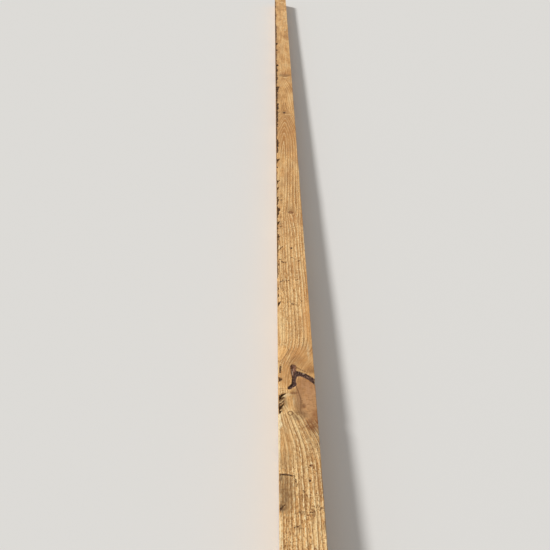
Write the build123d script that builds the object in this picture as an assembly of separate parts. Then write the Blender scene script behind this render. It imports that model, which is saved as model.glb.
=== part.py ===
from build123d import *
import math
import os

# A rough-sawn softwood length, square in section, lying along Y with its underside on Z = 0.
# The near end is at -Y, the left side at -X. It is one sawn piece: everything below is cut
# out of a single solid.

# Sawn size, in millimetres
LENGTH = 3600.0
WIDTH = 75.0
THICKNESS = 75.0
ARRIS_RADIUS = 1.2

# Bark seam round the dead knot that the right side cuts through
KNOT_FROM_NEAR_END = 445.0
SEAM_WIDTH = 8.5
SEAM_DEPTH = 2.0
SEAM_HEAD_WIDTH = 11.0
SEAM_FOOT_WIDTH = 5.0
SEAM_AT_ARRIS = 21.5
CRACK_WIDTH = 2.4
CRACK_DEPTH = 5.0
SEAM_SIDE_RUN = 28.0
SEAM_SIDE_LEAN = 10.0

# Pairs of short tears in the left arris, where the grain dives under the knot
TEAR_PAIRS = 2
TEAR_PAIR_PITCH = 25.0
TEAR_BEFORE_KNOT = 52.0
TEAR_REACH = 18.0
TEAR_MOUTH = 10.0
TEAR_LEAN = 12.0
TEAR_DEPTH = 6.0
SHORT_TEAR_BEHIND = 7.5
SHORT_TEAR_REACH = 12.0
SHORT_TEAR_MOUTH = 6.0

# Ragged stretch of the left arris, chipped along the waney side of the log
RAGGED_FROM_NEAR_END = 590.0
RAGGED_FROM_FAR_END = 560.0
CHIP_PITCH = 47.0
CHIP_RUN = 74.0
CHIP_REACH = 11.0
CHIP_DEPTH = 9.0
CHIP_LEAN = 14.0
CHIP_UNEVENNESS = 0.3

# Deeper bites in the ragged arris: place from the near end, and reach in over the top
BITES = (
    (884.0, 9.0),
    (941.0, 10.0),
    (1118.0, 11.0),
    (1160.0, 13.0),
    (1292.0, 15.0),
    (1409.0, 15.0),
    (1586.0, 13.0),
    (1742.0, 16.0),
    (1905.0, 19.0),
    (2190.0, 20.0),
    (2495.0, 18.0),
    (2685.0, 12.0),
)
BITE_RUN = 30.0
BITE_DEPTH = 8.0
BITE_LEAN = 18.0

# How far a cutter stands outside the wood, so that it never shares a plane with a sawn face
CLEAR = 2.0

LEFT = -WIDTH / 2
RIGHT = WIDTH / 2
NEAR_END = -LENGTH / 2
FAR_END = LENGTH / 2
KNOT_Y = NEAR_END + KNOT_FROM_NEAR_END


def sawn_length():
    """The four-square length as it leaves the saw, with its long arrises just eased."""
    bar = Pos(0, 0, THICKNESS / 2) * Box(WIDTH, LENGTH, THICKNESS)
    return fillet(bar.edges().filter_by(Axis.Y), ARRIS_RADIUS)


def seam_outline(branches, width_share):
    """The seam's outline on a flat face: each branch is round-ended and has its own end width."""
    stretches = []
    for places, end_width in branches:
        steps = len(places) - 1
        widths = [SEAM_WIDTH + (end_width - SEAM_WIDTH) * index / steps for index in range(steps + 1)]
        discs = [Pos(*place) * Circle(width_share * width / 2) for place, width in zip(places, widths)]
        for start, end in zip(discs, discs[1:]):
            stretches.append(make_hull(start.edges() + end.edges()))
    return Sketch() + stretches


def bark_seam():
    """The forked seam on the top, and its run down the right side, with the crack along both.

    A place on the top is a distance in from the right side and one on from the fork. The top
    plane's own Y runs towards the near end, so distances on from the fork are negative there.
    """
    fork = (37.5, 0.0)
    at_arris = (0.0, SEAM_AT_ARRIS)
    over_arris = (-SEAM_WIDTH, SEAM_AT_ARRIS + SEAM_WIDTH)
    top_branches = [
        ([fork, (24.0, 1.0), (12.0, 9.0), at_arris, over_arris], SEAM_WIDTH),
        ([fork, (41.5, -8.0), (43.5, -15.0)], SEAM_HEAD_WIDTH),
        ([fork, (43.0, 14.0), (43.5, 24.0), (53.0, 33.5)], SEAM_FOOT_WIDTH),
    ]
    side_branches = [([(0.0, SEAM_WIDTH), (-SEAM_SIDE_LEAN, -SEAM_SIDE_RUN)], SEAM_FOOT_WIDTH)]
    top = Plane(origin=(RIGHT, KNOT_Y, THICKNESS), x_dir=(-1, 0, 0), z_dir=(0, 0, 1))
    side = Plane(origin=(RIGHT, KNOT_Y - SEAM_AT_ARRIS, THICKNESS), x_dir=(0, 1, 0), z_dir=(1, 0, 0))
    cuts = []
    for plane, branches in ((top, top_branches), (side, side_branches)):
        for width_share, depth in ((1.0, SEAM_DEPTH), (CRACK_WIDTH / SEAM_WIDTH, CRACK_DEPTH)):
            outline = plane.offset(CLEAR) * seam_outline(branches, width_share)
            cuts.append(extrude(outline, amount=-(depth + CLEAR)))
    return cuts


def wedge(corners):
    """A four-cornered solid, which is what a chip or a tear takes out of an arris."""
    faces = []
    for left_out in range(4):
        ring = [corners[index] for index in range(4) if index != left_out]
        faces.append(Face(Wire.make_polygon(ring, close=True)))
    return Solid(Shell(faces))


def arris_cut(middle, mouth, reach, depth, lean):
    """Wood torn from the top left arris.

    middle is its place along Y, mouth its run along the arris, reach how far it runs in over
    the top, depth how far it runs down the side, and lean how far its inner tip lies further on.
    """
    outside = (LEFT - CLEAR, THICKNESS + CLEAR)
    return wedge(
        [
            (outside[0], middle - mouth / 2, outside[1]),
            (outside[0], middle + mouth / 2, outside[1]),
            (LEFT + reach, middle + lean, THICKNESS + CLEAR / 4),
            (LEFT - CLEAR / 4, middle, THICKNESS - depth),
        ]
    )


def torn_pairs():
    """Pairs of tears before the knot: a long one, and a short one just behind it."""
    tears = []
    for pair in range(TEAR_PAIRS):
        middle = KNOT_Y - TEAR_BEFORE_KNOT - TEAR_PAIR_PITCH * pair
        short = middle - SHORT_TEAR_BEHIND
        tears.append(arris_cut(middle, TEAR_MOUTH, TEAR_REACH, TEAR_DEPTH, TEAR_LEAN))
        tears.append(arris_cut(short, SHORT_TEAR_MOUTH, SHORT_TEAR_REACH, TEAR_DEPTH, TEAR_LEAN))
    return tears


def ragged_arris():
    """Overlapping chips, deepest midway and each a little unlike the last, and the deeper bites."""
    stretch = LENGTH - RAGGED_FROM_NEAR_END - RAGGED_FROM_FAR_END
    count = max(1, round(stretch / CHIP_PITCH))
    golden_turn = math.pi * (3 - math.sqrt(5))
    cuts = []
    for index in range(count):
        share = (index + 0.5) / count
        middle = NEAR_END + RAGGED_FROM_NEAR_END + share * stretch
        swell = math.sin(math.pi * share) ** 0.5
        wander = 1 - CHIP_UNEVENNESS + CHIP_UNEVENNESS * math.sin(golden_turn * index)
        size = swell * wander
        cuts.append(arris_cut(middle, CHIP_RUN, size * CHIP_REACH, size * CHIP_DEPTH, CHIP_LEAN * wander))
    for from_near_end, reach in BITES:
        cuts.append(arris_cut(NEAR_END + from_near_end, BITE_RUN, reach, BITE_DEPTH, BITE_LEAN))
    return cuts


plank = sawn_length()
for cutters in (bark_seam(), torn_pairs(), ragged_arris()):
    plank = plank - cutters

os.makedirs("parts", exist_ok=True)
export_step(plank.solid(), "parts/plank.step")
print("plank", round(plank.volume / 1e9, 5), "cubic metres,", len(plank.solids()), "solid")
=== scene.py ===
# %% [markdown]
# # A rough-sawn softwood plank
# This lesson dresses one sawn length of softwood. The plank is a single stick, 75 mm square and
# 3.6 m long, so nearly all of the work goes into its surface: growth rings, knots, the bark seam
# round a dead knot, torn arrises and the fur that a coarse saw leaves.
# The CAD solid is loaded first. It is the frame that everything else is measured from.

# %% Load the fixed frame
import itertools
import math

import bmesh
import bpy
import numpy as np
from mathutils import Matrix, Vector


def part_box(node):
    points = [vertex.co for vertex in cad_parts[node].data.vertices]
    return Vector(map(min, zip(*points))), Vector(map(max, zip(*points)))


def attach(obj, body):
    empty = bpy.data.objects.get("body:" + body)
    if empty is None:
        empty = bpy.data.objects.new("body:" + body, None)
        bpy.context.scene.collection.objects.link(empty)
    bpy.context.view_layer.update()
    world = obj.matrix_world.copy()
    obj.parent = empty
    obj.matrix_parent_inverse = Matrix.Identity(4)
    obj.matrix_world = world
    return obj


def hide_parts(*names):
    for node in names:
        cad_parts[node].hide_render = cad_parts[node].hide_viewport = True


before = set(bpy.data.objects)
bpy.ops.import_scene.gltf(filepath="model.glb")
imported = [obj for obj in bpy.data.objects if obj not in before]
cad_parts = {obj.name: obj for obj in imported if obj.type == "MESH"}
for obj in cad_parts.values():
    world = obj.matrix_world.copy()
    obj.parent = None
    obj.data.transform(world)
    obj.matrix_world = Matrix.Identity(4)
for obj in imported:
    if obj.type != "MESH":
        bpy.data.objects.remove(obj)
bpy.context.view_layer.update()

MM = 0.001
LOW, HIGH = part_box("plank")
LEFT, RIGHT = LOW.x, HIGH.x
NEAR_END, FAR_END = LOW.y, HIGH.y
TOP = HIGH.z
WIDTH = (RIGHT - LEFT) / MM
LENGTH = (FAR_END - NEAR_END) / MM
DEPTH = (TOP - LOW.z) / MM
print("plank", round(WIDTH), "x", round(DEPTH), "x", round(LENGTH), "mm")


# %% [markdown]
# ## Places on the plank
# A timber grader notes a defect by how far it lies from an end and from an edge. The same is done
# here: `across` counts from the left arris, `along` from the near end, and `down` from the top
# face, all in millimetres. One helper turns such a place into a point of the scene, another turns
# all points of a mesh into such places, and every mark below is written in these terms.

# %% Turn places into points and back
def point(across, along, down=0.0):
    """The scene's point for a place on the plank."""
    return Vector((LEFT + across * MM, NEAR_END + along * MM, TOP - down * MM))


def places(piece):
    """Across, along and down, in millimetres, for every vertex of a piece."""
    flat = np.empty(len(piece.data.vertices) * 3)
    piece.data.vertices.foreach_get("co", flat)
    x, y, z = flat.reshape(-1, 3).T
    return (x - LEFT) / MM, (y - NEAR_END) / MM, (TOP - z) / MM


# %% [markdown]
# ## The camera
# The plank is seen from above one end, looking along it and down. Its two long edges run to a
# vanishing point above the picture, which fixes how far the camera looks down, and the widths at
# the bottom and the top of the picture fix its height and its lens.

# %% Camera
PICTURE = 550
FOCAL_PIXELS = 445.5
VANISHING_POINT = (273.4, -160.0)
CAMERA_SPOT = (-7.6, -67.5, -782.9)
SENSOR = 36.0

half_picture = PICTURE / 2
look_down = math.atan((half_picture - VANISHING_POINT[1]) / FOCAL_PIXELS)
turn_right = math.atan((half_picture - VANISHING_POINT[0]) * math.cos(look_down) / FOCAL_PIXELS)

bpy.ops.object.select_all(action="DESELECT")
bpy.ops.object.camera_add(
    location=point(*CAMERA_SPOT),
    rotation=(math.pi / 2 - look_down, 0, -turn_right),
)
camera = bpy.context.object
camera.name = "photo_camera"
camera.data.sensor_width = SENSOR
camera.data.lens = FOCAL_PIXELS / PICTURE * SENSOR
camera.data.clip_start = 0.01
camera.data.clip_end = 60
bpy.context.scene.camera = camera
print("camera looks down", round(math.degrees(look_down), 1), "degrees")


# %% [markdown]
# ## Noise that mesh and paint can share
# Wood is never even, so most steps need a little disorder. A lattice of fixed chance values, eased
# from corner to corner, gives smooth noise that comes out the same on every run. Its cells have a
# width and a length, because most things in wood are drawn out along the grain.

# %% Smooth noise, drawn out along the grain
def noise(spots, width, length, seed):
    """From -1 to 1 at each spot, in cells of this width and length, in millimetres."""
    scaled = np.stack([column / size for column, size in zip(spots, (width, length, width))], axis=1)
    corner = np.floor(scaled).astype(np.int64)
    ease = (scaled - corner) ** 2 * (3 - 2 * (scaled - corner))
    total = np.zeros(len(scaled))
    for step in itertools.product((0, 1), repeat=3):
        x, y, z = (corner + step).T
        mixed = (x * 73856093) ^ (y * 19349663) ^ (z * 83492791) ^ (seed * 40503)
        mixed = ((mixed ^ (mixed >> 13)) * 1274126177) & 0x7FFFFFFF
        chance = ((mixed ^ (mixed >> 15)) & 0xFFFF) / 32767.5 - 1
        total += chance * np.prod(np.where(step, ease, 1 - ease), axis=1)
    return total


def soft_step(value, start, end):
    """0 before start, 1 after end, eased between."""
    share = np.clip((value - start) / (end - start), 0, 1)
    return share * share * (3 - 2 * share)


# %% [markdown]
# ## The sawn stick
# The plank could be the CAD mesh itself, but its faces are a few long triangles, and relief needs
# points to move. So the stick is modelled again at the same size. A cube is stretched to the sawn
# size, its four long edges are bevelled, and then its faces are cut into a grid. The grid is fine
# where the eye is close and coarse further off, which keeps the piece under 200,000 triangles.

# %% Edge and face picking
def pick(piece, kind, wanted):
    """Leaves selected, in edit mode, only the edges or the faces that pass the test."""
    bpy.ops.mesh.select_mode(type=kind)
    bpy.ops.mesh.select_all(action="DESELECT")
    shape = bmesh.from_edit_mesh(piece.data)
    for part in shape.edges if kind == "EDGE" else shape.faces:
        if wanted(part):
            part.select_set(True)
    bmesh.update_edit_mesh(piece.data)


def pick_edges(piece, wanted):
    """Leaves selected only the edges whose two ends pass the test."""
    pick(piece, "EDGE", lambda edge: wanted(edge.verts[0].co, edge.verts[1].co))


# %% The stick and its eased arrises
ARRIS = 1.3 * MM
SKIN = 0.5 * MM
SIDE_SKIN = 0.1 * MM

bpy.ops.object.select_all(action="DESELECT")
bpy.ops.mesh.primitive_cube_add(size=1, location=(LOW + HIGH) / 2)
plank = bpy.context.object
plank.name = "sawn_plank"
plank.scale = (HIGH - LOW) - Vector((SIDE_SKIN, SKIN, SKIN)) * 2
bpy.ops.object.transform_apply(location=True, rotation=True, scale=True)
bpy.ops.object.mode_set(mode="EDIT")
pick_edges(plank, lambda a, b: abs(a.y - b.y) > 1)
bpy.ops.mesh.bevel(offset=ARRIS, segments=3, affect="EDGES")
print("eased stick:", len(bmesh.from_edit_mesh(plank.data).faces), "faces")

# %% Columns, fine on top and on the upper left side
TOP_COLUMN = 1.25
SIDE_COLUMN = 4.2
UPPER_SIDE = 16.0
UPPER_COLUMN = 1.6
UNDER_COLUMN = 6.5
EDGE_GAP = 0.1 * MM


def is_across(a, b, height):
    """Whether an edge runs across the stick, on the level face at this height."""
    level = abs(a.z - height) < EDGE_GAP and abs(b.z - height) < EDGE_GAP
    return level and abs(a.x - b.x) > 0.01 and abs(a.y - b.y) < EDGE_GAP


def is_upright(a, b, side, low, high):
    """Whether an edge stands upright on one side, between two heights."""
    flush = abs(a.x - side) < EDGE_GAP and abs(b.x - side) < EDGE_GAP
    middle = (a.z + b.z) / 2
    return flush and abs(a.z - b.z) > 0.005 and abs(a.y - b.y) < EDGE_GAP and low < middle < high


bpy.ops.mesh.select_all(action="SELECT")
bpy.ops.mesh.bisect(plane_co=point(0, 0, UPPER_SIDE), plane_no=(0, 0, 1))
side_split = TOP - UPPER_SIDE * MM
# column size, width of the face, the test for its edges and that test's limits
columns = (
    (TOP_COLUMN, WIDTH, is_across, TOP - SKIN),
    (UNDER_COLUMN, WIDTH, is_across, LOW.z + SKIN),
    (UPPER_COLUMN, UPPER_SIDE, is_upright, LEFT + SIDE_SKIN, side_split, TOP),
    (SIDE_COLUMN, DEPTH - UPPER_SIDE, is_upright, LEFT + SIDE_SKIN, 0, side_split),
    (SIDE_COLUMN, UPPER_SIDE, is_upright, RIGHT - SIDE_SKIN, side_split, TOP),
    (SIDE_COLUMN, DEPTH - UPPER_SIDE, is_upright, RIGHT - SIDE_SKIN, 0, side_split),
)
for size, span, passes, *limits in columns:
    pick_edges(plank, lambda a, b: passes(a, b, *limits))
    bpy.ops.mesh.subdivide(number_cuts=round(span / size) - 1)
print("columns round the stick:", len(bmesh.from_edit_mesh(plank.data).faces) - 2)

# %% Rows, close together near the camera
# from, to, row size
ROW_ZONES = (
    (0, 120, 6), (120, 560, 1.6), (560, 980, 2.8), (980, 1700, 5), (1700, 2600, 10), (2600, 3600, 14),
)
MOST_CUTS = 90

bays = []
for start, end, size in ROW_ZONES:
    rows = round((end - start) / size)
    count = math.ceil(rows / MOST_CUTS)
    span = (end - start) / count
    for bay in range(count):
        bays.append((start + bay * span, start + (bay + 1) * span, round(rows / count)))
for start, end, rows in bays[1:]:
    bpy.ops.mesh.select_all(action="SELECT")
    bpy.ops.mesh.bisect(plane_co=point(0, start), plane_no=(0, 1, 0))
for start, end, rows in bays:
    near, far = point(0, start).y, point(0, end).y
    pick_edges(plank, lambda a, b: abs(a.y - b.y) > 0.03 and near < (a.y + b.y) / 2 < far)
    bpy.ops.mesh.subdivide(number_cuts=rows - 1)
print("faces after the rows:", len(bmesh.from_edit_mesh(plank.data).faces))

# %% Ends, drawn in ring by ring so that they have points inside
END_RINGS = 7

for direction in (-1, 1):
    pick(plank, "FACE", lambda face: face.normal.y * direction > 0.9)
    end_middle = point(WIDTH / 2, LENGTH / 2 * (1 + direction), DEPTH / 2)
    for ring in range(END_RINGS):
        shrink = (END_RINGS - ring) / (END_RINGS + 1 - ring)
        bpy.ops.mesh.extrude_region()
        bpy.ops.transform.resize(value=(shrink, 1, shrink), center_override=end_middle)
    bpy.ops.mesh.poke()
bpy.ops.object.mode_set(mode="OBJECT")
triangles = sum(len(face.vertices) - 2 for face in plank.data.polygons)
print("sawn stick:", triangles, "triangles")


# %% [markdown]
# ## Growth rings, bent round the knots
# The pith, the middle of the tree, lay outside this stick, off its left side. So the rings cross
# the top face as lines that run lengthwise, 3 to 9 mm apart, and cross the left side steeply. The
# rings were counted across the near end and noted as a table, because no two years are alike.
# Grain parts round a knot as a stream parts round a stone. Round the large knot it swings right out
# over the left arris, and round the small ones it parts a little. Worked out here for every point,
# the rings can shape the mesh and colour it alike.

# %% Where each point lies in the tree
PITH = (-95.0, -20.0)
RING_LINES = (7.5, 12, 15, 21, 28.5, 36, 45, 54, 61.5, 67.5, 75)
RING_BEYOND = 8.0
BIG_KNOT_ALONG = 412.0
BIG_KNOT_REACH = (82.0, 73.0)
BIG_KNOT_FALL = (2.4, 3.0)
BIG_KNOT_PUSH = (20.0, 0.75)
BIG_KNOT_DEPTH = 48.0
# across, along, radius, slimness: a slim knot is drawn out along the grain
SMALL_KNOTS = (
    (45, 1000, 7, 0.5),
    (34, 1668, 9, 0.4),
    (44, 2052, 10, 0.4),
    (56, 181, 3, 0.5),
    (56.5, 258, 2, 0.5),
)
SMALL_KNOT_TAPER = 0.45
# across, along, half width, half length before and after, height: grain over a knot deeper inside
SWELLS = (
    (44, 2040, 28, 110, 26, 22),
    (45, 990, 15, 60, 18, 9),
)
SWELL_DEPTH = 30.0

# Below the whorl the lines close like an arch. Its axis comes in over the left arris, far down,
# and left of it the rings are counted back. Nearer the top, the lines lean in and meet.
ARCH_AXIS = ((0, -12), (560, -6), (900, 8), (1640, 36), (3600, 36))
ARCH_BEND, ARCH_TOP, ARCH_TO = 1400, 1635, 1665
ARCH_RISE, ARCH_DEPTH, ARCH_ROUNDING = 30, 30, 4
LEAN = 12
# Past the big knot the lines lie further right, and most of that is lost again.
KNOT_SHIFT, SHIFT_LOST = 4.5, 4


def round_big_knot(across, along, down):
    """How far the grain has been pushed left by the big knot."""
    nearer = along < BIG_KNOT_ALONG
    far = np.abs(along - BIG_KNOT_ALONG) / np.where(nearer, *BIG_KNOT_REACH)
    fade = np.exp(-(far ** np.where(nearer, *BIG_KNOT_FALL)) - (down / BIG_KNOT_DEPTH) ** 2)
    return (BIG_KNOT_PUSH[0] + BIG_KNOT_PUSH[1] * across) * fade


def round_small_knot(across, along, down, knot):
    """How far the grain has been pushed aside by a small knot."""
    knot_across, knot_along, radius, slimness = knot
    x = across - knot_across
    y = (along - knot_along) * slimness
    gap = np.maximum(x * x + y * y + (down * SMALL_KNOT_TAPER) ** 2, radius * radius)
    return -x * radius * radius / gap


across, along, down = places(plank)
spots = (across, along, down)
straight = across + round_big_knot(across, along, down)
for knot in SMALL_KNOTS:
    straight += round_small_knot(across, along, down, knot)
for swell_across, swell_along, half_width, before, after, swell_height in SWELLS:
    half_length = np.where(along < swell_along, before, after)
    off = ((across - swell_across) / half_width) ** 2 + ((along - swell_along) / half_length) ** 2
    straight += swell_height * np.exp(-off - (down / SWELL_DEPTH) ** 2)

# the arch, and the lines that lean in towards its top
right_of_axis = across - np.interp(along, *zip(*ARCH_AXIS))
fold = np.hypot(right_of_axis, ARCH_ROUNDING) - right_of_axis
rise = ARCH_RISE * np.clip((along - ARCH_BEND) / (ARCH_TOP - ARCH_BEND), 0, 1) ** 2
in_arch = soft_step(along, ARCH_TO, ARCH_TOP) * np.exp(-((down / ARCH_DEPTH) ** 2))
straight += (fold + rise) * in_arch
straight -= LEAN * soft_step(along, 900, 1450) * soft_step(along, 2000, 1700)
straight -= KNOT_SHIFT * soft_step(along, 380, 520) - SHIFT_LOST * soft_step(along, 600, 900)

# no line is quite straight and no ring quite round; then the rings are counted from the pith
straight += 1.6 * noise(spots, 200, 260, 1) + 0.5 * noise(spots, 40, 70, 2)
from_pith_x = straight - PITH[0]
from_pith_z = down - PITH[1] + 6 * noise(spots, 900, 700, 3)
pith_gap = np.hypot(from_pith_x, from_pith_z)
at_top = np.sqrt(np.maximum(pith_gap ** 2 - PITH[1] ** 2, 1)) + PITH[0]
last_line = len(RING_LINES) - 1
ring_count = np.interp(at_top, RING_LINES, np.arange(last_line + 1))
ring_count += np.maximum(at_top - RING_LINES[-1], 0) / RING_BEYOND
ring_count += np.minimum(at_top - RING_LINES[0], 0) / RING_BEYOND
round_pith = np.arctan2(from_pith_z, from_pith_x) * pith_gap
print("rings from", round(ring_count.min(), 1), "to", round(ring_count.max(), 1))


# %% [markdown]
# ## Marks, as distances
# Knots, cracks and stains are noted as short lines and spots with a width. For every point the
# distance to the nearest of them is kept, below zero inside. A distance is better than a painted
# mask: it stays sharp between mesh points, and the mesh can sink by it as well.

# %% Distance to a chain of places
def chain_distance(chain, wide):
    """Distance from each point to a line through the places, less half its width there."""
    nearest = np.full(len(across), 1e6)
    steps = len(chain) - 1
    for index in range(steps):
        start, end = np.array(chain[index], float), np.array(chain[index + 1], float)
        run = end - start
        offset = np.stack(spots, axis=1) - start
        share = np.clip(offset @ run / (run @ run), 0, 1)
        gap = np.linalg.norm(offset - share[:, None] * run, axis=1)
        progress = (index + share) / steps
        nearest = np.minimum(nearest, gap - (wide[0] + (wide[1] - wide[0]) * progress) / 2)
    return nearest


def nearest_of(chains):
    """The smallest distance to any of several chains."""
    result = np.full(len(across), 1e6)
    for chain, wide in chains:
        deep_chain = [(*place, 0)[:3] for place in chain]
        result = np.minimum(result, chain_distance(deep_chain, wide))
    return result


# %% The bark seam and the thin dark marks
# each is a chain of places, across and along, with its width at the start and at the end
FORK = (37.5, 445)
BARK_SEAM = (
    ([FORK, (47, 443.6), (56, 440), (65, 434), (75, 425)], (9.6, 9.6)),
    ([(75, 425), (75, 413, 28)], (9, 6)),
    ([FORK, (33, 453), (31, 460)], (8.4, 8)),
    ([(36, 445), (43, 444.5)], (13.5, 11.5)),
    ([(30.6, 457), (30.8, 448), (31.6, 437)], (9, 6.4)),
    ([(35.5, 463.5), (30, 465.5), (26, 462)], (4.4, 2.6)),
    ([FORK, (32, 431), (32, 420.5)], (7.4, 9)),
    ([(33, 420.5), (22.5, 412)], (9, 7.4)),
)
THIN_MARKS = (
    ([(1, 186.5), (4, 188), (9, 192.5)], (4.4, 1.8)), ([(6, 464), (5, 448)], (2.4, 1.8)),
    ([(1, 374), (6, 379), (12, 384.5)], (3.2, 1.6)), ([(2, 382), (8, 387), (12, 390)], (2.4, 1.4)),
    ([(1.5, 433), (5, 431), (8.5, 433)], (7, 2)), ([(33, 181.5), (36, 180), (40, 183)], (1.6, 1)),
    ([(50, 180.5), (55.5, 180), (61, 184)], (1.9, 1)),
    ([(60, 189), (64.5, 192), (68.5, 188)], (1.6, 0.8)), ([(23.8, 159), (27.8, 159.5)], (1.4, 1.2)),
    ([(30.5, 162), (34, 160)], (1.8, 1.6)),
    ([(40.5, 215.5), (43.5, 213), (46.5, 215.5)], (2.2, 1.4)),
    ([(27.4, 235), (29.6, 230.5), (29.8, 222)], (2.2, 1.6)),
    ([(2.3, 827), (9, 836), (17.3, 848)], (3, 2.2)), ([(10.5, 930), (16, 932)], (3, 2.6)),
    ([(9, 943), (14, 944.5)], (2.6, 1.6)), ([(11.5, 786), (15, 784)], (4, 3)),
    ([(17, 781), (21, 780), (24.5, 784)], (3, 3)), ([(7, 793), (11, 794.5)], (4, 3.2)),
    ([(36, 800), (41, 801)], (4, 2.8)), ([(45, 797), (48, 794)], (2.4, 2.2)),
    ([(3.8, 772), (6.8, 773)], (3.6, 2.4)), ([(8, 711), (11.5, 714.5)], (3.2, 3.2)),
    ([(13.5, 715.5), (17.5, 714.5)], (3.2, 2.6)), ([(22, 716), (25, 713.5)], (3.2, 2.6)),
    ([(27, 715), (29.5, 716)], (2.8, 2.4)), ([(46.5, 717), (51, 718.5)], (3.4, 2.4)),
    ([(23, 643), (26.5, 644)], (3.2, 2.8)), ([(29.5, 645), (31.5, 644)], (2.8, 2.6)),
    ([(34.5, 638), (38.7, 636.5)], (3.8, 3)), ([(43, 634.5), (46, 634)], (2.8, 2.2)),
    ([(35, 1000), (40.5, 1004), (46, 1000)], (3.8, 3)),
    ([(38, 996), (44, 993), (49, 997)], (2.4, 3.4)),
)
# across, along, size
SPOTS = ((57, 787, 3.4), (57.5, 647, 3.6), (34, 1668, 10))
# Fine soft lines, painted only: nothing breaks them up and they don't sink in
HAIRLINES_AND_SHADOW = (
    ([(35, 419), (41, 400), (44.5, 385), (43, 364), (45, 352)], (1.8, 1)),
    ([(24.5, 508), (18, 493), (9.5, 480), (3, 474)], (1.5, 0.9)),
    ([(38, 490), (30, 479), (24, 470)], (1.2, 0.8)), ([(35, 463), (48, 454), (60, 448)], (2, 1.4)),
    ([(1, 409.5), (15, 411.5)], (1.4, 0.9)),
    # a painted shadow under the long splinter
    ([(2, 242.4), (9, 242.8), (19, 242), (28, 239.6)], (2, 1.4)),
    ([(6.5, 240), (6, 214), (4, 193)], (0.3, 0.3)),
    ([(10.5, 240), (10, 214), (7, 190)], (0.3, 0.3)),
    ([(15, 240), (14, 214), (10.5, 188)], (0.3, 0.3)),
    ([(19.5, 238), (18.5, 216), (15, 190)], (0.3, 0.3)),
    ([(66, 184), (70, 188), (74.5, 186)], (1.4, 1.8)),
)
# Raised edges of fibre that catch the light, painted as highlights
PALE_LINES = (
    ([(8, 470), (9, 462), (9, 452)], (1.4, 1)),
    ([(10, 372), (19, 345), (27, 318), (30.5, 290)], (2.2, 1.4)),
    ([(14, 373), (27, 347), (38, 320), (42, 290)], (2, 1.4)),
    ([(25, 366), (40, 345), (53, 322), (58, 300)], (1.8, 1.2)),
    ([(38, 352), (44, 345), (49, 330)], (2.2, 1.2)), ([(3, 372), (9, 345), (13, 318)], (1.8, 1.2)),
    ([(46.5, 446), (53, 446.5)], (2.6, 2)), ([(1, 465), (1.5, 448)], (2.4, 2)),
    ([(6, 402), (13, 405)], (2, 1.2)), ([(5, 389), (14, 396)], (1.8, 1)),
    ([(3, 379), (11, 386.5)], (1.6, 1)), ([(38, 1650), (48, 1652), (60, 1648)], (5, 4)),
    ([(12, 1660), (24, 1664)], (5, 3)), ([(36, 2038), (60, 2043)], (7, 5)),
)

seam_gap = nearest_of(BARK_SEAM)
mark_gap = nearest_of(THIN_MARKS)
hairline_and_shadow_gap = nearest_of(HAIRLINES_AND_SHADOW)
pale_gap = nearest_of(PALE_LINES)
for spot_across, spot_along, size in SPOTS:
    oval = np.hypot(across - spot_across, (along - spot_along) * 0.8)
    mark_gap = np.minimum(mark_gap, np.hypot(oval, down) - size / 2)
print("points in the seam:", int((seam_gap < 0).sum()), "and in thin marks:", int((mark_gap < 0).sum()))

# %% Soft stains, painted highlight and shade, and the knot's own wood
# across, along, half width, half length, strength
RED_STAINS = (
    (61, 330, 14, 5.6, 0.9), (68, 339, 11, 6, 0.9), (66, 334, 18, 16, 0.8),
    (31, 400.5, 9, 3.4, 0.75), (49, 372, 5, 6, 0.5), (44, 1000, 13, 12, 0.2), (72, 350, 9, 16, 0.6),
    (70, 455, 10, 10, 0.4), (31.5, 459, 8, 10, 1), (29, 452, 4, 16, 1),
)
WARM = (
    (44, 978, 15, 30, 0.8), (58, 1505, 13, 44, 1), (40, 1490, 46, 175, 0.8),
    (50, 2085, 32, 26, 0.9), (66, 460, 20, 16, 0.8), (54, 492, 34, 28, 0.75),
    (14, 452, 14, 40, 0.7), (40, 1180, 40, 70, 0.2), (70, 640, 18, 120, 0.6),
    (68, 1380, 16, 110, 0.6), (40, 900, 60, 240, 0.2),
)
# dirt, and painted shade: (62, 452) is a painted shadow on the far side of the bar of bark
DIRT_AND_SHADE = (
    (11, 212, 18, 34, 0.68), (7, 210, 10, 30, 0.78), (4, 189, 7.5, 8, 0.95), (2, 236, 4, 7, 1),
    (5, 432, 4, 6, 0.9), (49, 372.5, 4, 5, 0.6), (42, 2066, 32, 20, 0.62), (41, 1010, 15, 20, 0.32),
    (25, 380, 9, 12, 0.14), (37, 180, 70, 190, 0.08), (33, 1670, 11, 11, 0.7),
    (4.5, 456, 1.8, 9, 1), (37, 181, 5, 4, 0.5), (56, 181, 4, 3, 0.5), (30, 159, 6, 4, 0.5),
    (74, 160, 3, 10, 0.6), (14, 450, 14, 34, 0.28), (50, 468, 30, 26, 0.36), (62, 452, 18, 9, 0.5),
    (39, 376, 9, 26, 0.5), (38, 353, 18, 12, 0.72), (31, 396, 11, 14, 0.34), (8, 378, 12, 17, 0.7),
    (66, 307, 16, 26, 0.4), (12, 268, 16, 24, 0.45), (66, 506, 16, 30, 0.32),
    (52, 285, 34, 60, 0.14), (12, 288, 15, 54, 0.2), (20, 372, 8, 14, 0.14),
    (40, 1500, 44, 170, 0.16),
)
# the first five are a painted highlight where the sun catches the left arris; the rest are pale patches
# of wood
PALE_WASH_AND_HIGHLIGHTS = (
    (0.6, 300, 2.4, 44, 1), (2.5, 334, 5, 9, 0.8), (0.8, 203, 2, 12, 0.4), (0.5, 150, 2.2, 30, 0.8),
    (1, 350, 4, 12, 0.9), (30.5, 383, 2.6, 11, 0.35), (20, 397, 9, 3, 0.35), (13, 394, 6, 4, 0.4),
    (65, 500, 3, 22, 0.4), (58, 2755, 6, 15, 0.45), (48, 3368, 12, 20, 0.25),
)


STAIN_DEPTH = 10.0


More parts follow.
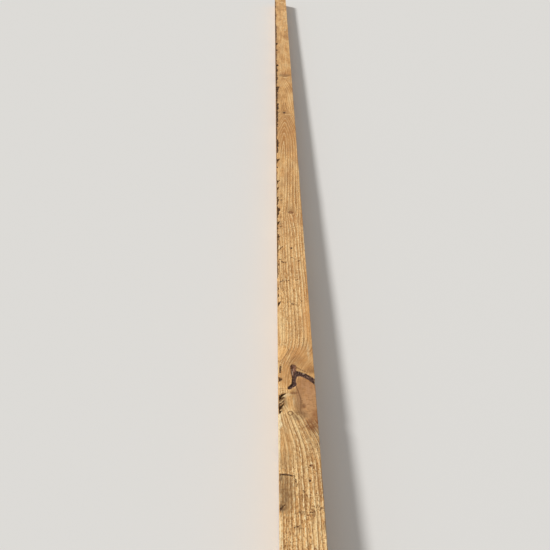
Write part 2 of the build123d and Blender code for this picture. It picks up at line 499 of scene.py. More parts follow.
def blots(blot_list):
    """How strongly soft stains cover each point, from 0 to 1."""
    cover = np.zeros(len(across))
    for blot_across, blot_along, half_width, half_length, strength in blot_list:
        far = np.hypot((across - blot_across) / half_width, (along - blot_along) / half_length)
        far = np.hypot(far, down / STAIN_DEPTH)
        cover = np.maximum(cover, strength * soft_step(far, 1.25, 0.55))
    return cover


# across, along, half width, half length, depth: a rounded square, cut off by the bar of bark
KNOT_WOOD = (74, 397, 39, 53, 44)
SQUARENESS = 3
BAR_ACROSS, BAR_ALONG = (28, 33, 38, 51, 63, 75), (403, 428, 443, 443, 435, 422)
knot_far = np.abs((across - KNOT_WOOD[0]) / KNOT_WOOD[2]) ** SQUARENESS
knot_far += np.abs((along - KNOT_WOOD[1]) / KNOT_WOOD[3]) ** SQUARENESS
knot_far = np.hypot(knot_far ** (1 / SQUARENESS), down / KNOT_WOOD[4])
above_bar = along - np.interp(across, BAR_ACROSS, BAR_ALONG)
knot_wood = soft_step(knot_far, 1.22, 0.84) * soft_step(above_bar, 5, -3)
# across, along, half width, half length, strength
CALM = (
    (58, 472, 38, 48, 0.85), (17, 438, 22, 38, 0.65), (72, 570, 17, 90, 0.7),
    (45, 395, 24, 44, 0.5), (27, 374, 20, 34, 0.75), (13, 288, 15, 52, 0.6), (11, 213, 15, 34, 0.5),
    (15, 1270, 24, 90, 0.7), (8, 496, 16, 24, 0.8),
)
# along, strength: how calm the wood looks from afar, where the fur runs together
SMOOTHER = (
    (0, 0), (300, 0), (470, 0.1), (520, 0.35), (640, 0.3), (720, 0.2), (900, 0.3), (1300, 0.3),
    (1420, 0.45), (1900, 0.55), (3600, 0.6),
)
calm = np.maximum(blots(CALM), knot_wood)
calm = np.maximum(calm, np.interp(along, *zip(*SMOOTHER)))
red_cover = blots(RED_STAINS)
dirt_and_shade_cover = blots(DIRT_AND_SHADE)
pale_and_highlight_cover = blots(PALE_WASH_AND_HIGHLIGHTS)
warm_cover = blots(WARM)
print("knot wood on", int((knot_wood > 0.5).sum()), "points, dirt on", int((dirt_and_shade_cover > 0.3).sum()))


# %% [markdown]
# ## The torn left arris
# On the left the saw met the waney edge of the log, and the arris is chipped for most of its
# length. Each chip takes a three-cornered bite: it reaches in over the top, down the side, and
# leans away along the grain. Points inside a bite are moved onto its slanting face, half of the
# way across and half of the way down, so that the mesh folds over the new edge without crossing.

# %% Chips
# along, run, reach over the top, and how far the tip leans on along the grain
CHIPS = (
    (634, 10, 10, 12), (663, 11, 5, 2), (686, 17, 5, 3), (822, 9, 5, 1), (872, 20, 7, 4),
    (884, 9, 11, 3), (893, 11, 8, 2), (910, 12, 4, 0), (922, 10, 7, 5), (941, 13, 11, 18),
    (972, 9, 7, 8), (990, 24, 9, 4), (1006, 44, 12, 10), (1052, 30, 9, 10), (1070, 13, 9, 12),
    (1102, 20, 4, 4), (1118, 13, 11, 20), (1160, 13, 13, 13), (1212, 58, 4, 0), (1254, 13, 9, -10),
    (1280, 28, 6, 4), (1292, 14, 15, 15), (1388, 92, 6, 4), (1409, 15, 15, 18), (1388, 12, 12, 8),
    (1518, 150, 7, 4), (1586, 18, 13, 12), (1640, 110, 9, 4), (1700, 28, 16, 12),
    (1740, 44, 16, 14), (1835, 95, 9, 6), (1722, 72, 13, 6), (1888, 54, 15, 10), (1903, 66, 19, 24),
    (2015, 72, 13, 20), (2118, 42, 15, 10), (2188, 34, 20, 14), (2250, 26, 9, 10), (2290, 90, 6, 4),
    (2385, 90, 6, 4), (2406, 30, 14, 12), (2495, 44, 18, 40), (2645, 100, 7, 4), (2685, 34, 12, 14),
    (2740, 100, 10, 6), (2960, 110, 7, 4), (3025, 44, 10, 14), (3255, 60, 10, 10), (392, 7, 19, 10),
    (386, 4, 14, 8), (366, 10, 15, 14), (358, 6, 10, 6), (430, 12, 7, 2), (476, 8, 3, 0),
)
# along, reach: the ragged strip between the chips
BAND = (
    (545, 0), (600, 1.4), (700, 1.8), (740, 3), (830, 3), (1000, 3.4), (1180, 3.4), (1250, 2.4),
    (1330, 3.6), (1350, 5.6), (1440, 6.6), (1600, 8.6), (1690, 9), (1780, 8), (1880, 9), (1960, 6),
    (2010, 8.2), (2140, 8.2), (2240, 6), (2330, 6.4), (2520, 6), (2600, 6), (2700, 8.2),
    (2800, 8.2), (2900, 4.6), (3050, 5.8), (3300, 5.6), (3500, 1.8),
)
KNOT_TEARS_DEPTH_SHARE = 0.4
CHIP_DEPTH_SHARE = 0.8


def bite(middle, run, reach, lean, depth):
    """How far points move in and down for one bite, and how deep they lie in it, 0 to 1."""
    tip = middle + lean * np.clip(across / reach, 0, 1)
    height = np.clip(1 - np.abs(along + rag * run / 16 - tip) / (run / 2), 1e-6, 1) ** 0.6
    depth_share = np.clip(1 - across / (reach * height) - down / (depth * height), 0, 1)
    return reach * height * depth_share / 2, depth * height * depth_share / 2, depth_share


rag = 2.4 * noise(spots, 5, 12, 14) + 1.6 * noise(spots, 2.5, 5, 15)
band_places, band_reaches = zip(*BAND)
band_rag = 1 + 0.4 * noise(spots, 900, 34, 11) + 0.35 * noise(spots, 900, 9, 12)
band_reach = np.maximum(np.interp(along, band_places, band_reaches) * band_rag, 1e-3)
band_share = np.clip(1 - across / band_reach - down / (band_reach * CHIP_DEPTH_SHARE), 0, 1)
moved_in = band_reach * band_share / 2
moved_down = band_reach * CHIP_DEPTH_SHARE * band_share / 2
torn = band_share
for place, run, reach, lean in CHIPS:
    depth_share = CHIP_DEPTH_SHARE if place > BAND[0][0] else KNOT_TEARS_DEPTH_SHARE
    chip_in, chip_down, chip_share = bite(place, run, reach, lean, reach * depth_share)
    deeper = chip_in + chip_down > moved_in + moved_down
    moved_in = np.where(deeper, chip_in, moved_in)
    moved_down = np.where(deeper, chip_down, moved_down)
    torn = np.maximum(torn, chip_share)
splintery = 1 + 0.35 * noise(spots, 2.2, 7, 13)
moved_in *= splintery
moved_down *= splintery

# On the far half a soiled rim runs beside the torn wood
RIM_WIDTH = 9.0
RIM_STRENGTH = 0.4
rim = soft_step(across, band_reach + RIM_WIDTH, band_reach) * soft_step(along, 1300, 1600)
rim *= soft_step(down, 6, 0)
dirt_and_shade_cover = np.maximum(dirt_and_shade_cover, RIM_STRENGTH * rim)
print("points on torn wood:", int((torn > 0.05).sum()), "deepest", round(moved_down.max(), 1), "mm")


# %% [markdown]
# ## Relief
# A coarse saw leaves three kinds of relief. The hard late wood stands up as ridges, steep on one
# flank. The blade leaves faint lines across. Torn fibres leave pits and fur. Each is a number from
# 0 to 1 for every point, kept as a vertex group, which is what weight painting makes. A Displace
# modifier then pushes the points in by their weight. Everything goes inwards, so the plank never
# grows past its sawn size.

# %% Weights
RELIEF_MIDDLE, RIDGE_HEIGHT, FUR_DEPTH = 0.45, 0.6, 0.5
BLADE_PITCH, BLADE_SLANT, BLADE_DEPTH = 6.3, 0.12, 0.1

ring_part = ring_count - np.floor(ring_count)
ridge = soft_step(ring_part, 0.3, 0.8) * soft_step(ring_part, 1, 0.84)
ridge *= (1 - 0.85 * calm) * (0.75 + 0.4 * noise(spots, 40, 110, 21))
blade_turn = 2 * math.pi * (along + BLADE_SLANT * across) / BLADE_PITCH
blade_line = BLADE_DEPTH * np.sin(blade_turn) * noise(spots, 70, 40, 22)
grain_spots = (at_top, along, round_pith)
fur = noise(grain_spots, 2, 5, 23) + 0.6 * noise(grain_spots, 3.4, 13, 24)
rough = (0.65 + 0.45 * noise(spots, 30, 60, 25)) * (1 - 0.45 * calm)
fur_here = FUR_DEPTH * fur * rough
relief = np.clip(RELIEF_MIDDLE - RIDGE_HEIGHT * ridge + blade_line + fur_here, 0, 1)
coarse = soft_step(along, 450, 1900) * (1 - 0.6 * soft_step(along, 1250, 1450) * in_arch)
# along, strength: how crisp the fine texture is, and how much the whole tone has darkened
CRISP = (
    (0, 1), (230, 1), (290, 0.75), (420, 0.5), (560, 0.7), (640, 0.8), (1000, 0.8), (1350, 0.5),
    (1660, 0.6), (1720, 0.5), (3600, 0.3),
)
DARKER = (
    (0, 0), (700, 0), (1000, 0.08), (1150, 0.2), (1500, 0.26), (1800, 0.36), (2500, 0.36),
    (2900, 0.2), (3600, 0.2),
)
crisp = np.interp(along, *zip(*CRISP))
darker = np.interp(along, *zip(*DARKER))

seam_edge = seam_gap + 0.7 * noise(spots, 2.6, 2.6, 31)
seam_sink = soft_step(seam_edge, 0.6, -2.2) * (0.8 + 0.2 * noise(spots, 5, 5, 32))
mark_sink = soft_step(mark_gap, 0.6, -1)
print("ridges stand on", int((ridge > 0.5).sum()), "points")
WEIGHT_LEVELS = 250


def weight_group(piece, name, weights):
    """A vertex group that holds one weight for each point, in steps fine enough for the eye."""
    group = piece.vertex_groups.new(name=name)
    levels = np.round(np.clip(weights, 0, 1) * WEIGHT_LEVELS).astype(int)
    order = np.argsort(levels, kind="stable")
    bounds = np.searchsorted(levels[order], np.arange(WEIGHT_LEVELS + 2))
    for level in range(1, WEIGHT_LEVELS + 1):
        members = order[bounds[level]:bounds[level + 1]]
        if len(members):
            group.add(members.tolist(), level / WEIGHT_LEVELS, "REPLACE")


def push(piece, group, direction, distance):
    """Moves the group's points by their weight, and applies it."""
    modifier = piece.modifiers.new(group, "DISPLACE")
    modifier.vertex_group = group
    modifier.direction = direction
    modifier.mid_level = 0
    modifier.strength = distance * MM
    bpy.ops.object.modifier_apply(modifier=group)


# how far full weight moves a point, in millimetres
RELIEF_DEPTH, SEAM_DEPTH, MARK_DEPTH = 1.0, 3.4, 0.9
DEEPEST_IN, DEEPEST_DOWN = moved_in.max(), moved_down.max()
steps = (
    ("relief", relief, "NORMAL", -RELIEF_DEPTH),
    ("bark_seam", seam_sink, "NORMAL", -SEAM_DEPTH),
    ("thin_marks", mark_sink, "NORMAL", -MARK_DEPTH),
    ("torn_in", moved_in / DEEPEST_IN, "X", DEEPEST_IN),
    ("torn_down", moved_down / DEEPEST_DOWN, "Z", -DEEPEST_DOWN),
)


# %% [markdown]
# ## Paint marks kept on the mesh
# The same numbers guide the paint. They are stored as attributes, one value for each point, and
# the material looks them up. The grain attribute holds each point's place in the tree, so streaks
# and flecks follow the rings round a knot instead of running straight through it.

# %% Store the attributes, then push the relief
stored_values = dict(
    rings=ring_count, seam_gap=seam_gap, mark_gap=mark_gap, hairline_and_shadow_gap=hairline_and_shadow_gap,
    coarse=coarse, crisp=crisp, darker=darker, pale_gap=pale_gap, knot_wood=knot_wood, calm=calm,
    red_cover=red_cover, dirt_and_shade_cover=dirt_and_shade_cover, pale_and_highlight_cover=pale_and_highlight_cover, warm_cover=warm_cover,
    torn=torn,
)
for name, values in stored_values.items():
    attribute = plank.data.attributes.new(name, "FLOAT", "POINT")
    attribute.data.foreach_set("value", values.astype(np.float32))
grain = plank.data.attributes.new("grain", "FLOAT_VECTOR", "POINT")
grain_values = np.stack(grain_spots, axis=1).astype(np.float32)
grain.data.foreach_set("vector", grain_values.ravel())

for name, weights, direction, distance in steps:
    weight_group(plank, name, weights)
    push(plank, name, direction, distance)
plank.vertex_groups.clear()
SMOOTH_ANGLE = 50.0
bpy.ops.object.shade_smooth_by_angle(angle=math.radians(SMOOTH_ANGLE))
print("relief pushed in on", len(plank.data.vertices), "points")


# %% [markdown]
# ## Materials
# The colour starts as plain early wood. Streaks and tufts break it up, the ring lines go over them,
# and flecks, stains, knot wood and bark come last, as they do on the plank. Some layers are painted
# light: highlights on ring crests, raised fibre and the left arris, and shade on the torn arris, under
# the long splinter and in a spot beyond the bar of bark. Each layer is a small node chain, and short
# helpers keep it readable: one adds a node and wires it, one eases a value, and one lays a colour
# over another by a mask.

# %% Node helpers
def new_material(name):
    """A material with an empty node tree."""
    material = bpy.data.materials.new(name)
    material.use_nodes = True
    material.node_tree.nodes.clear()
    return material


def add(tree, kind, inputs=(), **settings):
    """Adds a node; inputs maps a socket's name or number to a value or to another node's output."""
    node = tree.nodes.new("ShaderNode" + kind)
    for name, value in settings.items():
        setattr(node, name, value)
    for socket, value in dict(inputs).items():
        if isinstance(value, bpy.types.NodeSocket):
            tree.links.new(value, node.inputs[socket])
        else:
            node.inputs[socket].default_value = value
    return node


def sums(tree, operation, *values):
    """The result of a Math node."""
    return add(tree, "Math", dict(enumerate(values)), operation=operation).outputs[0]


def eased(tree, value, start, end, low=0.0, high=1.0):
    """A value eased from low at start to high at end."""
    sockets = {"Value": value, "From Min": start, "From Max": end, "To Min": low, "To Max": high}
    return add(tree, "MapRange", sockets, interpolation_type="SMOOTHSTEP", clamp=True).outputs[0]


def lay_over(tree, below, above, mask):
    """One colour laid over another where the mask says."""
    node = add(tree, "Mix", {0: mask}, data_type="RGBA")
    for socket, colour in ((node.inputs[6], below), (node.inputs[7], above)):
        if isinstance(colour, bpy.types.NodeSocket):
            tree.links.new(colour, socket)
        else:
            socket.default_value = colour
    return node.outputs[2]


def rgb(red, green, blue):
    """A colour as read off a screen, 0 to 255, turned into the light that a shader works in."""
    return (*[((part / 255 + 0.055) / 1.055) ** 2.4 for part in (red, green, blue)], 1.0)


def places_in_mm(tree):
    """Where each point lies in the frame, in millimetres."""
    place = add(tree, "TexCoord").outputs["Object"]
    return add(tree, "VectorMath", {0: place, "Scale": 1 / MM}, operation="SCALE").outputs[0]


def speckle(tree, place, width, length, detail=2.0, roughness=0.5):
    """Noise from 0 to 1, in cells of this width and length, in millimetres."""
    shares = [1 / part for part in (width, length, width)]
    scaled = add(tree, "VectorMath", {0: place, 1: shares}, operation="MULTIPLY")
    sockets = {"Vector": scaled.outputs[0], "Scale": 1.0, "Detail": detail, "Roughness": roughness}
    return add(tree, "TexNoise", sockets).outputs["Fac"]


# %% Colours, as the eye reads them in plain light
EARLY_WOOD = rgb(241, 183, 113)
LATE_WOOD = rgb(134, 87, 44)
PALE_WOOD_AND_HIGHLIGHT = rgb(255, 220, 160)
CREAM_WOOD_AND_HIGHLIGHT = rgb(255, 236, 190)
WARM_WOOD = rgb(206, 142, 80)
KNOT_COLOUR = rgb(152, 104, 64)
KNOT_PINK = rgb(180, 131, 93)
RED_BROWN = rgb(126, 70, 32)
HAIRLINE_AND_SHADOW_BROWN = rgb(96, 60, 32)
DIRT_AND_SHADE_BROWN = rgb(108, 80, 52)
FLECK_BROWN = rgb(98, 62, 34)
DARK_MARK = rgb(70, 42, 22)
BARK = rgb(70, 46, 38)
BARK_SOFT = rgb(120, 80, 58)
BARK_PALE = rgb(165, 130, 108)
BARK_FLAKE = rgb(188, 158, 132)
# torn wood tones, made darker still as painted shade along the arris
TORN_DARK_AND_SHADE = rgb(62, 37, 8)
TORN_RIM_AND_SHADE = rgb(104, 69, 29)
TORN_PALE = rgb(160, 112, 60)
FAR_TONE = rgb(182, 122, 52)
KNOT_LIGHT = rgb(206, 158, 108)
print("early wood:", [round(part, 2) for part in EARLY_WOOD])

# %% Rough-sawn softwood: short ways to read and mix
wood = new_material("rough_sawn_softwood")
tree = wood.node_tree


def value_of(name):
    """A number stored on the mesh."""
    return add(tree, "Attribute", attribute_name=name).outputs["Fac"]


def times(value, gate):
    """A value held back where the gate is low."""
    return sums(tree, "MULTIPLY", value, gate)


def patchy(name, chance, start, end, low, high):
    """A number stored on the mesh, weakened in patches by noise."""
    return times(value_of(name), eased(tree, chance, start, end, low, high))


def frayed(gap, chance, width):
    """A distance whose edge is ragged: noise shifts it by up to half the width either way."""
    return sums(tree, "MULTIPLY_ADD", chance, width, sums(tree, "SUBTRACT", gap, width / 2))


def mix_by(below, above, value, start, end, most=1.0, gate=None):
    """Lays a colour over where a value lies past start, in full past end, and through the gate."""
    mask = eased(tree, value, start, end, 0.0, most)
    if gate is not None:
        mask = times(mask, gate)
    return lay_over(tree, below, above, mask)


# %% Streaks and fibres
grain_place = add(tree, "Attribute", attribute_name="grain").outputs["Vector"]
in_mm = places_in_mm(tree)
calm_here = value_of("calm")
rough_here = eased(tree, calm_here, 0, 1, 1, 0.35)
cloud = speckle(tree, in_mm, 14, 34, 5, 0.7)
colour = mix_by(EARLY_WOOD, LATE_WOOD, cloud, 0.5, 0.34, 0.5, rough_here)
colour = mix_by(colour, PALE_WOOD_AND_HIGHLIGHT, cloud, 0.5, 0.66, 0.45, rough_here)
streaks = speckle(tree, grain_place, 2.6, 24, 3, 0.6)
colour = mix_by(colour, PALE_WOOD_AND_HIGHLIGHT, streaks, 0.52, 0.68, 0.7, rough_here)
colour = mix_by(colour, LATE_WOOD, streaks, 0.48, 0.32, 0.7, rough_here)
fine = speckle(tree, grain_place, 1.7, 6, 2, 0.6)
colour = mix_by(colour, PALE_WOOD_AND_HIGHLIGHT, fine, 0.52, 0.64, 0.8, rough_here)
colour = mix_by(colour, LATE_WOOD, fine, 0.48, 0.35, 0.8, rough_here)
bands = speckle(tree, grain_place, 9, 130)
colour = mix_by(colour, LATE_WOOD, bands, 0.48, 0.3, 0.4)
colour = mix_by(colour, PALE_WOOD_AND_HIGHLIGHT, bands, 0.52, 0.7, 0.5)
hatch = speckle(tree, in_mm, 7, 1.8)
colour = mix_by(colour, LATE_WOOD, hatch, 0.45, 0.28, 0.5, rough_here)
print("streaks and fibres:", len(tree.nodes), "nodes")

# %% Broad tufts and warm patches, and a deeper tone further off
coarse_here = value_of("coarse")
tufts = speckle(tree, in_mm, 28, 90)
colour = mix_by(colour, LATE_WOOD, tufts, 0.5, 0.36, 0.42, coarse_here)
colour = mix_by(colour, PALE_WOOD_AND_HIGHLIGHT, tufts, 0.5, 0.64, 0.45, coarse_here)
mottle = speckle(tree, in_mm, 45, 90, 3)
colour = lay_over(tree, colour, WARM_WOOD, patchy("warm_cover", mottle, 0.2, 0.6, 0.35, 0.75))
colour = lay_over(tree, colour, FAR_TONE, value_of("darker"))
print("with broad tufts:", len(tree.nodes), "nodes")

# %% Ring lines over them: a pale crest painted as a highlight on the ridge's lit flank, then the dark late wood, which also stands in for shade on the ridge's steep flank
wobble = speckle(tree, grain_place, 6, 26)
ring_line = sums(tree, "MULTIPLY_ADD", wobble, 0.36, value_of("rings"))
ring_share = sums(tree, "FRACT", sums(tree, "SUBTRACT", ring_line, 0.18))
ring_strength = eased(tree, speckle(tree, grain_place, 12, 90), 0.3, 0.7, 0.4, 1)
ring_strength = times(ring_strength, eased(tree, calm_here, 0, 1, 1, 0.15))
crisp_here = value_of("crisp")
fibre_gate = eased(tree, fine, 0.36, 0.56, 0.35, 1)
# the cream on the crest is a painted highlight, crisper towards the near end
crest_highlight_gate = times(eased(tree, fine, 0.45, 0.57), crisp_here)
# the dark steps are late wood plus painted shade on the steep flank; the crest steps are a painted
# highlight
# place in the ring's year, strength
LATE_WOOD_AND_SHADE_STEPS = ((0, 0.95), (0.07, 0.8), (0.2, 0.35), (0.5, 0.12), (0.6, 0), (0.84, 0.05), (0.92, 0.9))
HIGHLIGHT_CREST_STEPS = ((0, 0), (0.6, 0), (0.69, 1), (0.77, 1), (0.84, 0), (0.95, 0))
for colour_over, steps_over, gate in (
    (LATE_WOOD, LATE_WOOD_AND_SHADE_STEPS, fibre_gate),
    (PALE_WOOD_AND_HIGHLIGHT, HIGHLIGHT_CREST_STEPS, fibre_gate),
    (CREAM_WOOD_AND_HIGHLIGHT, HIGHLIGHT_CREST_STEPS, crest_highlight_gate),
):
    ring_ramp = add(tree, "ValToRGB", {"Fac": ring_share})
    shades = ring_ramp.color_ramp
    for end_stop in shades.elements:
        end_stop.color = (*[steps_over[0][1]] * 3, 1)
    for place, shade in steps_over[1:]:
        shades.elements.new(place).color = (shade, shade, shade, 1)
    mask = times(times(ring_ramp.outputs["Color"], ring_strength), gate)
    colour = lay_over(tree, colour, colour_over, mask)
print("with ring lines:", len(tree.nodes), "nodes")

# %% Brown clouds, then flecks
colour = mix_by(colour, KNOT_COLOUR, mottle, 0.47, 0.75, 0.34)
flecks = speckle(tree, in_mm, 2.4, 2.2, 1)
fleck_zone = eased(tree, speckle(tree, in_mm, 28, 34), 0.4, 0.62, 0.3, 1)
fleck_gate = times(times(fleck_zone, crisp_here), rough_here)
colour = mix_by(colour, FLECK_BROWN, flecks, 0.42, 0.28, 1, fleck_gate)
colour = mix_by(colour, PALE_WOOD_AND_HIGHLIGHT, flecks, 0.58, 0.7, 0.9, fleck_gate)
print("with flecks:", len(tree.nodes), "nodes")

# %% Stains, painted highlight and shade, knot wood and bark
# cream: a painted highlight along the lit left arris, and pale patches of wood
colour = lay_over(tree, colour, CREAM_WOOD_AND_HIGHLIGHT, patchy("pale_and_highlight_cover", fine, 0.3, 0.6, 0.35, 0.95))
blotch = speckle(tree, in_mm, 6, 8, 3)
lengthwise = add(tree, "SeparateXYZ", {0: in_mm}).outputs["Y"]
# the knot grows paler from the seam towards its near end
KNOT_LIGHT_FROM = NEAR_END / MM + 430
KNOT_LIGHT_TO = NEAR_END / MM + 365
knot_tone = KNOT_COLOUR
for tone_over, value, *limits in (
    (KNOT_PINK, cloud, 0.36, 0.62),
    (WARM_WOOD, blotch, 0.5, 0.7, 0, 0.4),
    (KNOT_LIGHT, lengthwise, KNOT_LIGHT_FROM, KNOT_LIGHT_TO, 0.12, 0.5),
    (LATE_WOOD, hatch, 0.5, 0.3, 0, 0.5),
):
    knot_tone = lay_over(tree, knot_tone, tone_over, eased(tree, value, *limits))
colour = lay_over(tree, colour, knot_tone, times(value_of("knot_wood"), 0.9))
colour = lay_over(tree, colour, RED_BROWN, patchy("red_cover", blotch, 0.25, 0.65, 0.6, 0.95))
# brown dirt, with a painted shadow in one spot
dirt_and_shade_streaks = eased(tree, speckle(tree, grain_place, 1.8, 30), 0.3, 0.62, 0.7, 1)
dirt_and_shade_mask = patchy("dirt_and_shade_cover", blotch, 0.3, 0.6, 0.6, 0.95)
colour = lay_over(tree, colour, DIRT_AND_SHADE_BROWN, times(dirt_and_shade_mask, dirt_and_shade_streaks))

# painted highlights on raised fibre, hairlines with a painted shadow under the long splinter, and dark
# marks, then the bark seam
pale_line = frayed(value_of("pale_gap"), fine, 2)
colour = mix_by(colour, PALE_WOOD_AND_HIGHLIGHT, pale_line, 0.9, -0.6, 0.6)
# hairlines, and the painted shadow under the long splinter
hairline_and_shadow = frayed(value_of("hairline_and_shadow_gap"), fine, 0.8)
colour = mix_by(colour, HAIRLINE_AND_SHADOW_BROWN, hairline_and_shadow, 0.9, -0.3, 0.75)
dark_mark = frayed(value_of("mark_gap"), flecks, 5)
colour = mix_by(colour, DARK_MARK, dark_mark, 0.8, -0.6, 0.9)
ragged = speckle(tree, in_mm, 2, 2.2)
bark_tone = lay_over(tree, BARK, BARK_SOFT, value_of("red_cover"))
bark_tone = mix_by(bark_tone, BARK_PALE, speckle(tree, in_mm, 2, 2.6), 0.54, 0.7, 0.8)
seam_rim = frayed(value_of("seam_gap"), ragged, 2.6)
colour = mix_by(colour, bark_tone, seam_rim, 0.9, -0.6)
print("with stains and bark:", len(tree.nodes), "nodes")

# %% Ovals: pin knots, a ring-shaped mark and pale flakes of bark, sharp at any mesh size
OVAL_DEPTH = 12.0


def oval(across_mm, along_mm, half_width, half_length):
    """How far off an oval on the top face lies: 0 in its middle, 1 on its rim."""
    middle = point(across_mm, along_mm) / MM
    offset = add(tree, "VectorMath", {0: in_mm, 1: middle}, operation="SUBTRACT").outputs[0]
    shares = [1 / part for part in (half_width, half_length, OVAL_DEPTH)]
    scaled = add(tree, "VectorMath", {0: offset, 1: shares}, operation="MULTIPLY").outputs[0]
    return add(tree, "VectorMath", {0: scaled}, operation="LENGTH").outputs["Value"]


# across, along, half width, half length, colour, strength
OVALS = (
    (56.3, 257.4, 3.6, 2.6, RED_BROWN, 0.8), (55, 257, 1.8, 1.5, DARK_MARK, 0.9),
    (53.3, 231.8, 2.4, 2.2, DARK_MARK, 1), (29.3, 447.5, 1.3, 7, BARK_FLAKE, 0.95),
    (27.6, 455, 1.1, 4, BARK_FLAKE, 0.7), (32, 456, 1.1, 4, BARK_PALE, 0.8),
    (32.2, 457, 1.2, 3, BARK_PALE, 0.6), (43.7, 450.2, 1.8, 1.2, BARK_FLAKE, 0.6),
    (52, 445.8, 2.8, 1.3, BARK_FLAKE, 0.85), (60, 438.5, 2.4, 0.9, BARK_PALE, 0.7),
    (42, 999, 8, 7.5, KNOT_COLOUR, 0.6), (15, 1062, 5, 3.6, HAIRLINE_AND_SHADOW_BROWN, 0.8),
    (38.7, 838, 3.2, 4.4, DARK_MARK, 1),
)
for *place, flake_colour, strength in OVALS:
    oval_rim = frayed(oval(*place), ragged, 0.9)
    colour = mix_by(colour, flake_colour, oval_rim, 1.15, 0.6, strength)
RING_MARK = (22.8, 357, 4.7, 3.9)
RING_MARK_WIDTH = 0.34
off_ring = sums(tree, "ABSOLUTE", sums(tree, "SUBTRACT", oval(*RING_MARK), 1))
colour = mix_by(colour, HAIRLINE_AND_SHADOW_BROWN, off_ring, RING_MARK_WIDTH, 0.08, 0.8)
print("with", len(OVALS), "ovals:", len(tree.nodes), "nodes")

# %% Torn wood, darkened further as painted shade along the left arris
torn_here = value_of("torn")
torn_tone_and_shade = mix_by(TORN_RIM_AND_SHADE, TORN_DARK_AND_SHADE, torn_here, 0.05, 0.3)
torn_tone_and_shade = mix_by(torn_tone_and_shade, TORN_PALE, speckle(tree, in_mm, 1.6, 9), 0.56, 0.7, 0.8)
colour = mix_by(colour, torn_tone_and_shade, torn_here, 0.01, 0.09)
print("with torn wood:", len(tree.nodes), "nodes")

# %% Bump and shader
height = sums(tree, "MULTIPLY_ADD", fine, 0.6, times(flecks, 0.6))
height = sums(tree, "MULTIPLY_ADD", hatch, 0.25, height)
bump = add(tree, "Bump", {"Strength": 0.8, "Distance": 0.7 * MM, "Height": height})
roughness = eased(tree, streaks, 0.3, 0.7, 0.92, 0.78)
looks = {"Base Color": colour, "Roughness": roughness, "Normal": bump.outputs[0]}
shader = add(tree, "BsdfPrincipled", {"Specular IOR Level": 0.25, **looks})
add(tree, "OutputMaterial", {"Surface": shader.outputs[0]})
plank.data.materials.append(wood)
print("wood material:", len(tree.nodes), "nodes")


# %% [markdown]
# ## Splinters
# Torn fibres stand off the ragged arris, and one long dark splinter lies across the face near the
# end. A splinter is a needle: a cone of four sides, stretched and turned along its run. They could
# be hair curves, but the export keeps meshes only, and at four sides a needle still reads as a
# fibre. Each is laid by its root and its tip, and all are joined at the end.

# %% Needles from root to tip
NEEDLE_SIDES = 4
# how far below the top face the highest tips stay, in millimetres
TIP_DOWN = 0.15
rng = np.random.default_rng(8)


def needle(root, tip, thick, tip_share=0.25):
    """A thin cone from root to tip, both as across, along, down; tip_share is its tip's thickness."""
    start, end = point(*root), point(*tip)
    run = end - start
    bpy.ops.mesh.primitive_cone_add(
        vertices=NEEDLE_SIDES,
        radius1=thick / 2 * MM,
        radius2=thick * tip_share / 2 * MM,
        depth=run.length,
        location=(start + end) / 2,
        rotation=run.to_track_quat("Z", "X").to_euler(),
    )
    return bpy.context.object


def join(pieces, name):
    """Joins pieces into one, and applies its place to its mesh."""
    bpy.ops.object.select_all(action="DESELECT")
    for piece in pieces:
        piece.select_set(True)
    bpy.context.view_layer.objects.active = pieces[0]
    bpy.ops.object.join()
    joined = bpy.context.object
    joined.name = name
    bpy.ops.object.transform_apply(location=True, rotation=True, scale=True)
    return joined


# %% The long splinter, in three lengths that sag a little
# where each length starts, as across, along, down and thickness
LONG_SPLINTER = (
    (0.9, 241.2, 1.2, 2.1),
    (9.0, 241.7, 1.1, 2.0),
    (19.0, 240.8, 1.1, 1.8),
    (28.5, 238.4, 1.2, 0.8),
)

bpy.ops.object.select_all(action="DESELECT")
lengths = []
for (*root, thick), (*tip, tip_thick) in zip(LONG_SPLINTER, LONG_SPLINTER[1:]):
    lengths.append(needle(root, tip, thick, tip_thick / thick))
long_splinter = join(lengths, "long_splinter")
print("long splinter of", len(lengths), "lengths")

# %% Splinters that stand off the torn arris
SPLINTER_COUNT = 150
SPLINTER_FROM, SPLINTER_TO = 600.0, 3250.0

fibres = []
for number in range(SPLINTER_COUNT):
    share = (number + rng.random()) / SPLINTER_COUNT
    root_along = SPLINTER_FROM + (SPLINTER_TO - SPLINTER_FROM) * share
    reach = np.interp(root_along, band_places, band_reaches)
    root = (0.9 + reach * rng.uniform(0.3, 0.8), root_along, reach * rng.uniform(0.1, 0.35) + 0.8)
    lean = rng.uniform(6, 16)
    tip = (max(root[0] - rng.uniform(3, 8), 0.5), root_along - lean, rng.uniform(TIP_DOWN + 0.3, 2.5))
    if number % 3 == 0:
        tip = (root[0] + rng.uniform(3, 9), root_along + lean, TIP_DOWN + 0.5)
    fibres.append(needle(root, tip, rng.uniform(0.6, 1.2)))
# root, tip, thickness: the fibres of the tears beside the big knot
COMB_SPLINTERS = (
    ((4, 386, 1.2), (0.8, 379, 1.6), 1.6),
    ((7, 399, 1), (0.9, 391.5, 1), 1.8),
    ((9, 377, 1.2), (1.2, 369, 1.2), 1.8),
    ((6, 366, 1.2), (0.8, 358, 1.6), 1.5),
    ((3.4, 447, 0.9), (2, 466, 0.8), 1.8),
    ((3, 436, 1.2), (0.8, 428, 1.8), 1.5),
    ((2.5, 404, 1), (12, 407.5, 0.8), 1.4),
)
fibres += [needle(*splinter) for splinter in COMB_SPLINTERS]
arris_splinters = join(fibres, "arris_splinters")
print(len(fibres), "splinters on the arris")

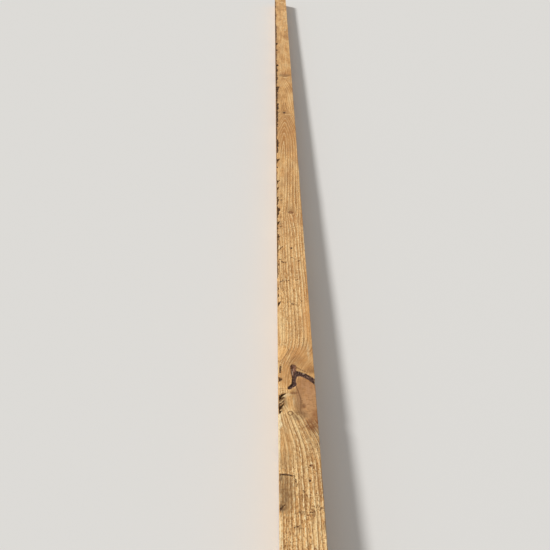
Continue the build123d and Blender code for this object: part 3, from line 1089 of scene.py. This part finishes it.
# %% Colours of the splinters
def fibre_wood(name, dark, pale, cell):
    """Splinter wood that turns from dark to pale and back, cell by cell."""
    material = new_material(name)
    fibre_tree = material.node_tree
    change = eased(fibre_tree, speckle(fibre_tree, places_in_mm(fibre_tree), *cell), 0.38, 0.62)
    tone = lay_over(fibre_tree, dark, pale, change)
    sockets = {"Base Color": tone, "Roughness": 0.85, "Specular IOR Level": 0.25}
    made = add(fibre_tree, "BsdfPrincipled", sockets)
    add(fibre_tree, "OutputMaterial", {"Surface": made.outputs[0]})
    return material


BARK_DARK, BARK_LIGHT = rgb(36, 24, 16), rgb(58, 40, 27)
FIBRE_DARK, FIBRE_PALE = rgb(112, 74, 40), rgb(206, 160, 106)
dry_bark = fibre_wood("dry_bark", BARK_DARK, BARK_LIGHT, (3, 3))
torn_fibre_wood = fibre_wood("torn_fibre", FIBRE_DARK, FIBRE_PALE, (9, 30))
long_splinter.data.materials.append(dry_bark)
arris_splinters.data.materials.append(torn_fibre_wood)
print("splinters are of", dry_bark.name, "and", torn_fibre_wood.name)


# %% [markdown]
# ## Floor, light and hand-in
# The stock lies on a plain pale floor. A low sun from ahead and to the left rakes over the rough
# face, as in a timber yard on a clear morning, and an even sky fills the shadows. The two together
# light the top face at a plain level, at which a colour renders about as it is written.

# %% Floor
FLOOR_SIZE = 30.0
FLOOR_PALE = rgb(226, 224, 220)

bpy.ops.object.select_all(action="DESELECT")
bpy.ops.mesh.primitive_plane_add(size=FLOOR_SIZE, location=(0, 0, LOW.z))
floor = bpy.context.object
floor.name = "floor"
bpy.ops.object.transform_apply(location=True, rotation=True, scale=True)
pale = new_material("pale_floor")
floor_shader = add(pale.node_tree, "BsdfDiffuse", {"Color": FLOOR_PALE})
add(pale.node_tree, "OutputMaterial", {"Surface": floor_shader.outputs[0]})
floor.data.materials.append(pale)
print("floor of", FLOOR_SIZE, "m")

# %% Sun and sky
SUN_STRENGTH = 2.75
SUN_SOFTNESS = 10.0
SKY_STRENGTH = 0.42
SUN_FROM = Vector((-0.60, 0.52, 0.60))
SUN_DISTANCE = 4.0

bpy.ops.object.light_add(type="SUN", location=SUN_FROM * SUN_DISTANCE)
sun = bpy.context.object
sun.name = "morning_sun"
sun.rotation_euler = SUN_FROM.to_track_quat("Z", "Y").to_euler()
sun.data.energy = SUN_STRENGTH
sun.data.angle = math.radians(SUN_SOFTNESS)
world = bpy.data.worlds.new("even_sky")
bpy.context.scene.world = world
world.use_nodes = True
sky = world.node_tree
sky.nodes.clear()
ray = add(sky, "LightPath")
seen = sums(sky, "MAXIMUM", ray.outputs["Is Camera Ray"], ray.outputs["Is Glossy Ray"])
seen = sums(sky, "MAXIMUM", seen, ray.outputs["Is Transmission Ray"])
even_light = add(sky, "Background", {"Color": (1, 1, 1, 1), "Strength": SKY_STRENGTH})
backdrop = add(sky, "Background", {"Color": FLOOR_PALE, "Strength": 1.0})
both = add(sky, "MixShader", {0: seen, 1: even_light.outputs[0], 2: backdrop.outputs[0]})
add(sky, "OutputWorld", {"Surface": both.outputs[0]})
bpy.context.scene.view_settings.view_transform = "Standard"
print("sun at", SUN_STRENGTH, "and sky at", SKY_STRENGTH)

# %% Tie the pieces to the frame and finish
for piece in (plank, long_splinter, arris_splinters):
    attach(piece, "root")
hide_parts("plank")
